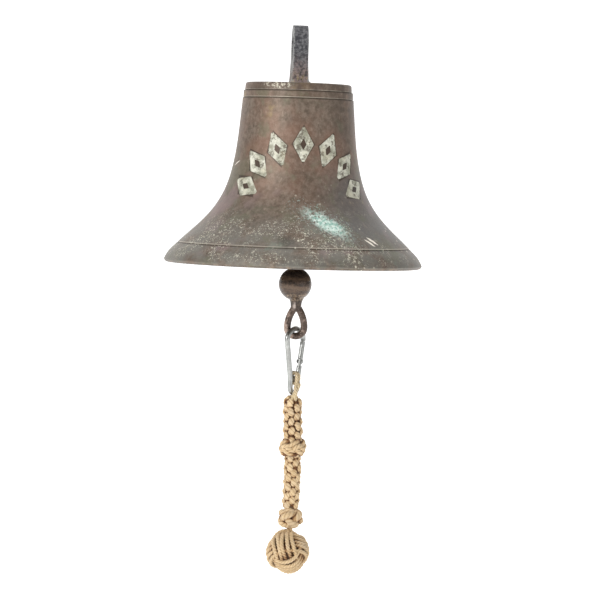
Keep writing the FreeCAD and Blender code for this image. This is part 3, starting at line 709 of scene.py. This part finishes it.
def dark_bronze_look():
    """Clapper: painted shade makes the top of the ball nearly black, as though the dark inside of the bell
    reflected there; rubbed brown and pinkish below and on the eye, with painted highlights round the ball's
    foot, on the neck and on the eye's left-facing sides, and painted shade inside the eye's left arm.
    """
    look = Look("clapper bronze", Specular_IOR_Level=0.5)
    height = look.minus(look.axis("Z"), BALL_Z)
    facing_right = look.axis("X", at=look.normal())
    fine = look.noise(260, 5, 0.65)
    rings = look.noise(150, 3, 0.6, stretch=(0.12, 0.12, 1.0))
    rubbed = look.fall(look.plus(height, look.times(look.noise(90, 3), 0.008)), -0.012, 0.009)
    worn = look.both(look.spots(0.42, 0.58, 120, 5, 0.75), look.fall(height, -0.014, -0.004))
    # Painted highlights: light glints in a band round the foot of the ball.
    foot_glints = look.both(look.spots(0.48, 0.58, 340, 5, 0.8), look.band(height, -0.0155, 0.006))
    tail = look.fall(height, -0.036, -0.022)
    pink = look.both(tail, look.spots(0.5, 0.66, 150, 4, 0.65))
    # Painted shade on the inner face of the eye's left arm.
    eye_inner_shade = look.both(look.rise(facing_right, 0.1, 0.5), look.fall(look.axis("X"), 0.004, 0.005))
    eye_inner_shade = look.both(eye_inner_shade, look.fall(height, -0.042, -0.036))
    lit = look.both(look.fall(facing_right, -0.75, -0.2), look.spots(0.35, 0.6, 80, 4, 0.6))
    glint = look.fall(look.patch(GLINT, GLINT_RADII, at=look.bent(0.003, 160)), 0.2, 1.0)
    glint = look.both(glint, look.spots(0.36, 0.5, 300, 4, 0.7))
    base = look.mix(look.rise(fine, 0.35, 0.65), srgb(54, 44, 38), srgb(88, 71, 59))
    look.colour(look.coats(base, [
        (rubbed, 0.3, srgb(72, 58, 49)),
        # Painted shade: the top of the ball is darkened nearly to black.
        (look.rise(height, -0.001, 0.012), 0.75, srgb(38, 33, 31)),
        (look.rise(rings, 0.5, 0.62), 0.55, srgb(112, 92, 74)),
        (worn, 0.7, srgb(34, 27, 23)),
        (foot_glints, 0.5, srgb(176, 152, 124)),
        (tail, 0.4, srgb(96, 78, 68)),
        (pink, 0.65, srgb(186, 162, 148)),
        (eye_inner_shade, 0.75, srgb(50, 33, 29)),
        (look.both(lit, tail), 0.5, srgb(192, 168, 154)),
        (glint, 0.8, srgb(232, 216, 206)),
        (look.rise(height, 0.022, 0.03), 0.55, srgb(66, 56, 49)),
        (look.spots(0.62, 0.74, 700, 2), 0.4, srgb(160, 140, 120)),
    ]))
    look.metal(0.35)
    look.rough(look.scaled(fine, 0.3, 0.14))
    look.bump(look.plus(fine, look.times(rings, 0.9)), 0.6 * MM, 0.7)
    return look.material


def iron_look():
    """Forged iron inside the bell: brown-black with rust."""
    look = Look("iron", Specular_IOR_Level=0.4)
    rust = look.spots(0.45, 0.62, 170, 6, 0.7)
    base = look.mix(look.noise(400, 3), srgb(48, 43, 40), srgb(84, 76, 70))
    look.colour(look.coats(base, [(rust, 0.8, srgb(112, 70, 46))]))
    look.metal(look.minus(0.6, look.times(rust, 0.5)))
    look.rough(look.scaled(rust, 0.3, 0.45))
    look.bump(look.noise(420, 5, 0.7), 0.6 * MM, 0.9)
    return look.material


def brass_look():
    look = Look("split pin brass", Specular_IOR_Level=0.5)
    look.colour(look.mix(look.noise(500, 4), srgb(120, 98, 58), srgb(166, 140, 92)))
    look.metal(0.9)
    look.rough(look.scaled(look.noise(700, 3), 0.3, 0.3))
    look.bump(look.noise(900, 3), 0.2 * MM, 0.6)
    return look.material


def steel_look():
    """Satin zinc, with grey wear."""
    look = Look("zinc steel", Specular_IOR_Level=0.5)
    base = look.mix(look.spots(0.35, 0.7, 160, 4, 0.6), srgb(150, 151, 148), srgb(178, 179, 176))
    worn = look.spots(0.6, 0.72, 420, 5, 0.7)
    look.colour(look.coats(base, [(worn, 0.4, srgb(96, 96, 94))]))
    look.metal(0.92)
    look.rough(look.scaled(look.noise(300, 4), 0.1, 0.3))
    look.bump(look.noise(300, 3, 0.5), 0.05 * MM, 0.4)
    return look.material


def spring_look():
    look = Look("spring steel", Specular_IOR_Level=0.5)
    look.colour(look.mix(look.noise(900, 3), srgb(120, 120, 122), srgb(170, 170, 172)))
    look.metal(1.0)
    look.rough(look.scaled(look.noise(500, 2), 0.2, 0.25))
    look.bump(look.noise(1200, 2), 0.1 * MM, 0.4)
    return look.material


def wood_look():
    """Turned core of the monkey's fist."""
    look = Look("core wood", Specular_IOR_Level=0.3)
    grain = look.noise(60, 5, 0.6, stretch=(1, 1, 0.15))
    look.colour(look.mix(grain, srgb(120, 86, 54), srgb(176, 138, 96)))
    look.rough(look.scaled(grain, 0.2, 0.55))
    look.bump(grain, 0.4 * MM, 0.6)
    return look.material


def cord_look(name, light, darker):
    """Natural fibre: cream where it stands proud, with twisted yarns and loose fuzz; painted shade turns it
    brown in the gaps between cords and between plies.
    """
    look = Look(name, Specular_IOR_Level=0.25, Sheen_Weight=0.15, Sheen_Roughness=0.6)
    proud = look.attribute("proud")
    ply = look.attribute("ply")
    tint = look.attribute("tint")
    fibre = look.attribute("fibre", "Vector")
    yarn = look.noise(1.0, 3, 0.6, at=look.moved((260, 1900, 40), fibre))
    hair = look.noise(1.0, 2, 0.6, at=look.moved((700, 5200, 40), fibre))
    soil = look.both(look.spots(0.55, 0.72, 33, 3, 0.6), look.rise(proud, 0.4, 0.9))
    look.colour(look.coats(look.mix(look.spots(0.35, 0.68, 90, 4, 0.6), light, darker), [
        (tint, 0.35, srgb(198, 170, 128)),
        (look.fall(yarn, 0.3, 0.55), 0.65, srgb(166, 134, 94)),
        (look.rise(hair, 0.55, 0.75), 0.4, srgb(242, 224, 190)),
        # Painted shade in the grooves between the plies.
        (look.fall(ply, 0.05, 0.5), 0.8, srgb(142, 104, 64)),
        # Painted shade in the gaps between cords, deepest where they lie furthest in.
        (look.fall(proud, 0.05, 0.75), 0.8, srgb(144, 100, 50)),
        (look.fall(proud, 0.0, 0.35), 0.85, srgb(92, 52, 18)),
        (soil, 0.35, srgb(176, 160, 140)),
    ]))
    look.rough(look.scaled(yarn, 0.15, 0.75))
    look.bump(look.plus(look.times(yarn, 0.8), look.times(hair, 0.5)), 0.5 * MM, 0.9)
    return look.material


LOOKS = {
    "bronze": bronze_look(), "inlay": inlay_look(), "iron": iron_look(), "pin_brass": brass_look(),
    "clapper_bronze": dark_bronze_look(), "galvanised_steel": steel_look(), "spring_steel": spring_look(),
    "cord": cord_look("cord", srgb(218, 194, 156), srgb(204, 177, 136)), "core_wood": wood_look(),
}
EYE_CORD_LOOK = cord_look("cord at the hook", srgb(214, 198, 166), srgb(198, 184, 148))

for part in frame["record"]["subparts"]:
    node = frame["nodes"][part["node"]]
    node.data.materials.clear()
    node.data.materials.append(LOOKS[part["material_slot"]])


# -------- plait

TIER = 10.9 * MM                # height of one round of bights
COLUMNS = 8
SINNET_WIDE = 11.8 * MM         # the plait's radius above the collar
SINNET_NARROW = 10.6 * MM       # and below it
NARROWING = (0.4, 0.12)         # shares of its length: where it begins, and how long it is
DOME = 7.0 * MM
BIGHT_SWEEP = np.radians(np.linspace(-112, 112, 19))    # a bight arches out of the core
BIGHT_HALF_LENGTH = 3.6 * MM
BIGHT_HALF_WIDTH = 3.95 * MM
BIGHT_HALF_THICK = 2.5 * MM
BIGHT_DIP = 3.1 * MM            # how much lower its ends lie, about
BIGHT_HIGHEST = 1.2 * MM        # from the plait's top
BIGHT_INNERMOST = 0.6 * MM      # from its middle
SPIRAL = math.radians(16)
SPIRAL_WAVES = 5.2
CORE_RADIUS = 7.4 * MM


def centred(points, line):
    """Distance of each point from a line of points."""
    low = np.searchsorted(-line[:, 2], -points[:, 2]).clip(1, len(line) - 1)
    before, after = line[low - 1], line[low]
    share = ((before[:, 2] - points[:, 2]) / (before[:, 2] - after[:, 2])).clip(0, 1)[:, None]
    return np.linalg.norm(points - (before * (1 - share) + after * share), axis=1)


def sinnet_envelope(along, total):
    """Outer radius of the plait: wider above the collar, rounded off at its top."""
    start, length = NARROWING
    narrower = np.clip((along / total - start) / length, 0, 1)
    rounding = np.sqrt(np.clip(1 - (1 - np.clip(along / DOME, 0, 1)) ** 2, 0.08, 1))
    return (SINNET_WIDE + (SINNET_NARROW - SINNET_WIDE) * narrower) * rounding


def make_sinnet():
    """A round crown sinnet: columns of bights, each half a tier from its neighbours, round a core."""
    line = spaced(smooth_line(SINNET_ROUTE), 0.5 * MM)
    along_line = lengths(line)
    total = along_line[-1]
    rng = random.Random(11)
    swing = np.sin(BIGHT_SWEEP)
    facing = np.cos(BIGHT_SWEEP)

    def on_line(along):
        return np.column_stack([np.interp(along, along_line, line[:, k]) for k in range(3)])

    def depth(points):
        place = np.interp(-points[:, 2], -line[:, 2], along_line)
        return standing_out(centred(points, line) - sinnet_envelope(place, total), -BIGHT_DIP, BIGHT_DIP)

    cords = Cords("plaited_rope", depth)
    for column in range(COLUMNS):
        middle = (0.15 + 0.5 * (column % 2)) * TIER
        while middle < total - 0.2 * TIER:
            place = middle + rng.uniform(-0.7, 0.7) * MM
            outer = float(sinnet_envelope(place, total))
            reach = outer - BIGHT_HALF_THICK + rng.uniform(-0.6, 0.6) * MM
            half_length = BIGHT_HALF_LENGTH + rng.uniform(-0.25, 0.3) * MM
            along = np.clip(place + half_length * swing, BIGHT_HIGHEST, total)
            radius = np.maximum(reach - BIGHT_DIP * (1 - facing), BIGHT_INNERMOST)
            slant = math.radians(rng.uniform(-5, 9))
            start = 2 * math.pi * column / COLUMNS + math.radians(20 + rng.uniform(-4, 4))
            spiral = SPIRAL * math.sin(place / total * SPIRAL_WAVES)
            outward = round_the_axis(start + slant * swing + spiral)
            lean = outward + np.outer(swing * -0.6, ALONG_Z)
            width = (BIGHT_HALF_WIDTH + rng.uniform(-0.3, 0.3) * MM) * min(1.0, outer / SINNET_NARROW)
            cords.add(
                on_line(along) + outward * radius[:, None], lean, width * (0.72 + 0.28 * facing),
                BIGHT_HALF_THICK, lay=12 * MM, groove=0.28, tint=rng.random(),
            )
            middle += TIER
    core = line[6:-2]
    cords.add(core, facing_front(core), CORE_RADIUS, CORE_RADIUS, lay=30 * MM, groove=0.1)
    piece = cords.build(LOOKS["cord"])
    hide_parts("sinnet_upper", "sinnet_lower")
    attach(piece, "bell_rope")
    return piece, line


# -------- collar and foot knot

# A knot's DEPTH is the distance deep in it, and the way from there to outside.
# HALVES are a cord's half width and half thickness.
COLLAR_HEIGHT = -465.2 * MM
COLLAR_TURN = math.radians(40)
COLLAR_DEPTH = (11.6 * MM, 4.2 * MM)
KNOT_CENTRE = Vector((6.9 * MM, ROPE_Y, -547.9 * MM))
KNOT_RADII = np.array([14.4, 14.4, 11.3]) * MM
KNOT_DEPTH = (0.82, 0.24)       # in these radii
KNOT_TILT = Euler((math.radians(6), math.radians(-5), math.radians(25))).to_matrix()
KNOT_LOOPS = (                  # heights above the knot's centre, and radii
    (-8.2 * MM, 4.8 * MM), (8.4 * MM, 6.2 * MM), (0, 6.4 * MM), (4.4 * MM, 5.0 * MM),
)
LOOP_WAVE = 0.9 * MM
LOOP_HALVES = (3.2 * MM, 2.9 * MM)
KNOT_CORE = 5.6 * MM


def woven_ring(cords, centre, tilt, radius, amplitude, bights, plies, width, thick, weave, squeeze, rng):
    """A three-lead Turk's head of several parallel plies. squeeze pulls its edges in over a ball."""
    tilt = np.array(tilt).T
    turn = np.linspace(0, 6 * math.pi, 460, endpoint=False)
    wave = bights * turn / 3
    slope = amplitude * bights / 3 * np.cos(wave) / radius
    lean = 1 / np.sqrt(1 + slope ** 2)
    for ply in range(plies):
        shift = (ply - (plies - 1) / 2) * width * 1.86
        height = amplitude * np.sin(wave) + shift * lean
        angle = turn - shift * slope * lean / radius
        unevenness = 0.25 * MM * np.sin(wave * 2.3 + rng.uniform(0, 6))
        inward = squeeze * (height / (amplitude + width * plies)) ** 2
        out = radius + weave * np.sin(2 * wave) - inward + unevenness
        ring = np.column_stack([out * np.cos(angle), out * np.sin(angle), height])
        outward = round_the_axis(angle, 2 * inward / amplitude * np.sign(height))
        cords.add(
            ring @ tilt + np.array(centre), outward @ tilt, width, thick,
            closed=True, lay=13 * MM, groove=0.2, tint=rng.random(),
        )


def axis_frame(line, height, turn):
    """Centre and turning of a ring round the rope at a height."""
    place = int(np.argmin(np.abs(line[:, 2] - height)))
    along = Vector(line[max(place - 8, 0)] - line[min(place + 8, len(line) - 1)]).normalized()
    tilt = Vector(ALONG_Z).rotation_difference(along).to_matrix() @ Matrix.Rotation(turn, 3, "Z")
    return line[place], tilt


def make_collar(line):
    """Turk's head collar, two plies of cord in a three-lead weave."""
    def depth(points):
        return standing_out(centred(points, line), *COLLAR_DEPTH)

    centre, tilt = axis_frame(line, COLLAR_HEIGHT, COLLAR_TURN)
    cords = Cords("collar_weave", depth)
    woven_ring(
        cords, centre, tilt, radius=12.0 * MM, amplitude=5.4 * MM, bights=5, plies=2,
        width=2.7 * MM, thick=2.6 * MM, weave=2.0 * MM, squeeze=5.0 * MM, rng=random.Random(5),
    )
    piece = cords.build(LOOKS["cord"])
    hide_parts("turks_head")
    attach(piece, "bell_rope")
    return piece


def make_knot():
    """Wall and crown knot at the rope's foot, a round knob of woven bights."""
    centre = np.array(KNOT_CENTRE)

    def depth(points):
        return standing_out(np.linalg.norm((points - centre) / KNOT_RADII, axis=1), *KNOT_DEPTH)

    rng = random.Random(8)
    cords = Cords("foot_knot", depth)
    woven_ring(
        cords, centre, KNOT_TILT, radius=10.2 * MM, amplitude=6.6 * MM, bights=4, plies=1,
        width=4.0 * MM, thick=3.2 * MM, weave=2.3 * MM, squeeze=3.6 * MM, rng=rng,
    )
    turn = np.linspace(0, 2 * math.pi, 90, endpoint=False)
    for loop, (height, radius) in enumerate(KNOT_LOOPS):
        heights = height + LOOP_WAVE * np.sin(3 * turn + loop)
        ring = np.column_stack([radius * np.cos(turn), radius * np.sin(turn), heights])
        cords.add(
            ring + centre, round_the_axis(turn, math.copysign(0.8, height)), *LOOP_HALVES,
            closed=True, lay=12 * MM, groove=0.2, tint=rng.random(),
        )
    core = np.array([KNOT_CENTRE + Vector((0, 0, height * MM)) for height in np.linspace(-9, 14, 24)])
    cords.add(core, facing_front(core), KNOT_CORE, KNOT_CORE, lay=30 * MM, groove=0.05)
    piece = cords.build(LOOKS["cord"])
    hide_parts("lower_knot")
    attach(piece, "bell_rope")
    return piece


# -------- neck and monkey's fist

NECK_TOP = Vector((6.9 * MM, ROPE_Y, -556.5 * MM))
NECK_FOOT = Vector((1.0 * MM, 0, 20.5 * MM))    # from the middle of the monkey's fist
NECK_CORDS = 3
NECK_TURNS = 0.45
NECK_HALVES = (2.0 * MM, 1.9 * MM)
NECK_DEPTH = (1.6 * MM, 2.4 * MM)
FIST_CENTRE = Vector((4.9 * MM, ROPE_Y, -587.3 * MM))
FIST_DEPTH = (20.8 * MM, 4.2 * MM)
FIST_HALVES = (2.5 * MM, 2.6 * MM)
FIST_TURNS = 5
FIST_SPACING = 5.25 * MM
FIST_OUTER = 23.1 * MM          # half a turn's size, where it lies over a set
FIST_INNER = 18.0 * MM          # and where it lies under one
FIST_TURNED = Euler((math.radians(-38), math.radians(-16), math.radians(-12)), "XYZ").to_matrix()
FIST_STRETCH = (1.02, 1.0, 1.05)


def make_neck():
    """Three cords twisted together between the knot and the monkey's fist."""
    foot = FIST_CENTRE + NECK_FOOT
    line = spaced(smooth_line([NECK_TOP, (NECK_TOP + foot) / 2 + Vector((0.2 * MM, 0, 0)), foot]), 0.4 * MM)

    def depth(points):
        return standing_out(centred(points, line), *NECK_DEPTH)

    cords = Cords("neck_cords", depth)
    share = np.linspace(0, 1, len(line))
    for strand in range(NECK_CORDS):
        outward = round_the_axis(2 * math.pi * (strand / NECK_CORDS + share * NECK_TURNS))
        points = line + outward * (2.3 * MM - 0.5 * MM * np.sin(math.pi * share))[:, None]
        cords.add(points, outward, *NECK_HALVES, lay=9 * MM, groove=0.2, tint=0.3 + 0.3 * strand)
    piece = cords.build(LOOKS["cord"])
    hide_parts("neck_cord")
    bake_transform(piece)
    return piece


def fist_turn(offset, order, rng):
    """One turn of a set, and the ways outward. It lies over one set and under the other."""
    over, under, normal = order
    offset += rng.uniform(-0.35, 0.35) * MM
    angle = np.linspace(0, 2 * math.pi, 150, endpoint=False)
    share = (offset / FIST_OUTER) ** 2
    lift = rng.uniform(-0.3, 0.5) * MM
    flatter = np.abs(np.cos(angle)) ** 1.1 * np.sign(np.cos(angle))
    rounder = np.abs(np.sin(angle)) ** 0.95 * np.sign(np.sin(angle))
    drift = np.sin(angle * 2 + rng.uniform(0, 6)) + np.sin(angle * 3 + rng.uniform(0, 6))
    loop = np.zeros((len(angle), 3))
    loop[:, over] = (FIST_OUTER * (1 - 0.62 * share) + lift) * flatter
    loop[:, under] = FIST_INNER * (1 - 0.25 * share) * rounder
    loop[:, normal] = offset * (1 - 0.10 * np.sin(angle) ** 2) + 0.6 * MM * drift
    return loop, unit(loop)


def make_fist():
    """Monkey's fist: three sets of turns at right angles."""
    centre = np.array(FIST_CENTRE)
    turned = np.array(FIST_TURNED).T

    def depth(points):
        return standing_out(np.linalg.norm(points - centre, axis=1), *FIST_DEPTH)

    rng = random.Random(21)
    cords = Cords("fist_cords", depth)
    for order in ((1, 2, 0), (0, 1, 2), (2, 0, 1)):
        for turn in range(FIST_TURNS):
            loop, outward = fist_turn((turn - (FIST_TURNS - 1) / 2) * FIST_SPACING, order, rng)
            cords.add(
                loop @ turned * FIST_STRETCH + centre, outward @ turned, *FIST_HALVES,
                closed=True, lay=11 * MM, groove=0.5, tint=rng.random(),
            )
    piece = cords.build(LOOKS["cord"])
    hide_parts("monkeys_fist")
    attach(piece, "fist")
    return piece


# -------- cord at the hook

HOOK_TURN = math.radians(57.0)
HOOK_ALONG = Vector((math.cos(HOOK_TURN), math.sin(HOOK_TURN), 0))
HOOK_FRONT = Vector((math.sin(HOOK_TURN), -math.cos(HOOK_TURN), 0))
CROSSPIECE = Vector((5.8 * MM, 0, -384.95 * MM))
EYE_CORD_RADIUS = 2.25 * MM
EYE_CORD_DEPTH = 0.8
STEM_HALF_GAP = 2.0 * MM
EYE_STEM = (                # millimetres, and the way from the returning part to the rising one
    ((5.4, -7.0, -411.0), (1, 0.2, 0)), ((6.6, -11.4, -403.0), (0.7, -0.7, 0)),
    ((8.3, -9.8, -396.5), (-0.7, -0.7, 0)), ((10.0, -6.6, -390.5), (-1, 0.1, 0)),
)
EYE_TURNS = (               # millimetres along, in front of and above the middle of the crosspiece
    (-3.0, 5.4, 2.5), (-2.6, 2.4, 7.6), (-2.2, -2.4, 6.2), (-1.9, -5.3, 1.5), (-1.6, -4.2, -3.8),
    (-0.6, 0.5, -5.6), (1.0, 5.4, -2.6), (1.8, 5.8, 3.0), (2.2, 2.2, 7.0), (2.2, -3.0, 5.6),
    (2.0, -5.4, 0.0), (1.6, -3.2, -5.0), (0.8, 3.6, -6.6),
)


def by_hook(along, front, height):
    """A point in the hook's own plane, and off it to its front, which is to the right."""
    return CROSSPIECE + HOOK_ALONG * along + HOOK_FRONT * front + Vector((0, 0, height))


def make_eye():
    """One cord that comes up from the plait, goes twice round the hook's crosspiece, and goes back down."""
    def depth(points):
        return np.full(len(points), EYE_CORD_DEPTH)

    stem = [
        (Vector([c * MM for c in place]), Vector(way).normalized() * STEM_HALF_GAP)
        for place, way in EYE_STEM
    ]
    up = [place + way for place, way in stem]
    down = [place - way for place, way in reversed(stem)]
    turns = [by_hook(*(c * MM for c in place)) for place in EYE_TURNS]
    line = spaced(smooth_line(up + turns + down), 0.7 * MM)
    outward = line - np.array(CROSSPIECE)
    cords = Cords("eye_cord", depth)
    cords.add(line, outward, EYE_CORD_RADIUS, EYE_CORD_RADIUS, lay=11 * MM, groove=0.42, tint=0.4)
    piece = cords.build(EYE_CORD_LOOK)
    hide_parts("rope_eye")
    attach(piece, "snap_hook")
    return piece


sinnet, sinnet_line = make_sinnet()
collar = make_collar(sinnet_line)
knot = make_knot()
neck = make_neck()
fist = make_fist()
eye = make_eye()


# -------- floor and light

FLOOR_Z = -0.70
FLOOR_FRONT = -6.0
FLOOR_HALF_WIDTH = 9.0
BEND_Y = 4.0
BEND_RADIUS = 3.0
WALL_TOP = 9.0
LIT_PLACE = (0, 0, -0.25)
LIGHTS = (                  # name, place, width and height, power in watts
    ("key", (-2.0, -2.0, 1.0), (1.1, 1.6), 62),
    ("fill", (2.0, -1.8, 0.2), (1.2, 1.8), 8),
    ("top", (0.2, 0.4, 2.0), (2.2, 1.6), 16),
)
SKY_STRENGTH = 0.5


def make_floor():
    """A pale floor that curves up behind the bell."""
    profile = [(FLOOR_FRONT, FLOOR_Z), (BEND_Y, FLOOR_Z)]
    for angle in np.linspace(0.1, math.pi / 2, 16):
        rise = BEND_RADIUS * (1 - math.cos(angle))
        profile.append((BEND_Y + BEND_RADIUS * math.sin(angle), FLOOR_Z + rise))
    profile.append((BEND_Y + BEND_RADIUS, WALL_TOP))
    points = [(x, y, z) for y, z in profile for x in (-FLOOR_HALF_WIDTH, FLOOR_HALF_WIDTH)]
    faces = [(2 * i, 2 * i + 1, 2 * i + 3, 2 * i + 2) for i in range(len(profile) - 1)]
    mesh = bpy.data.meshes.new("floor")
    mesh.from_pydata(points, [], faces)
    mesh.shade_smooth()
    look = Look(
        "floor", Roughness=0.9, Specular_IOR_Level=0.1, Emission_Color=(1, 1, 1, 1), Emission_Strength=0.6,
    )
    look.colour(look.mix(look.noise(3, 2), (0.93, 0.93, 0.93, 1), (0.95, 0.95, 0.95, 1)))
    mesh.materials.append(look.material)
    new_object("floor", mesh)


def area_light(name, place, size, power):
    """A rectangular lamp that faces LIT_PLACE, at the bell's mouth."""
    data = bpy.data.lights.new(name, "AREA")
    data.shape = "RECTANGLE"
    data.size, data.size_y = size
    data.energy = power
    lamp = new_object(name, data)
    lamp.location = place
    lamp.rotation_mode = "QUATERNION"
    lamp.rotation_quaternion = (Vector(LIT_PLACE) - Vector(place)).to_track_quat("-Z", "Y")


make_floor()
for light in LIGHTS:
    area_light(*light)

world = bpy.data.worlds.new("studio")
world.use_nodes = True
sky = world.node_tree.nodes["Background"]
sky.inputs["Color"].default_value = (1, 1, 1, 1)
sky.inputs["Strength"].default_value = SKY_STRENGTH
bpy.context.scene.world = world
bpy.context.scene.view_settings.view_transform = "Standard"
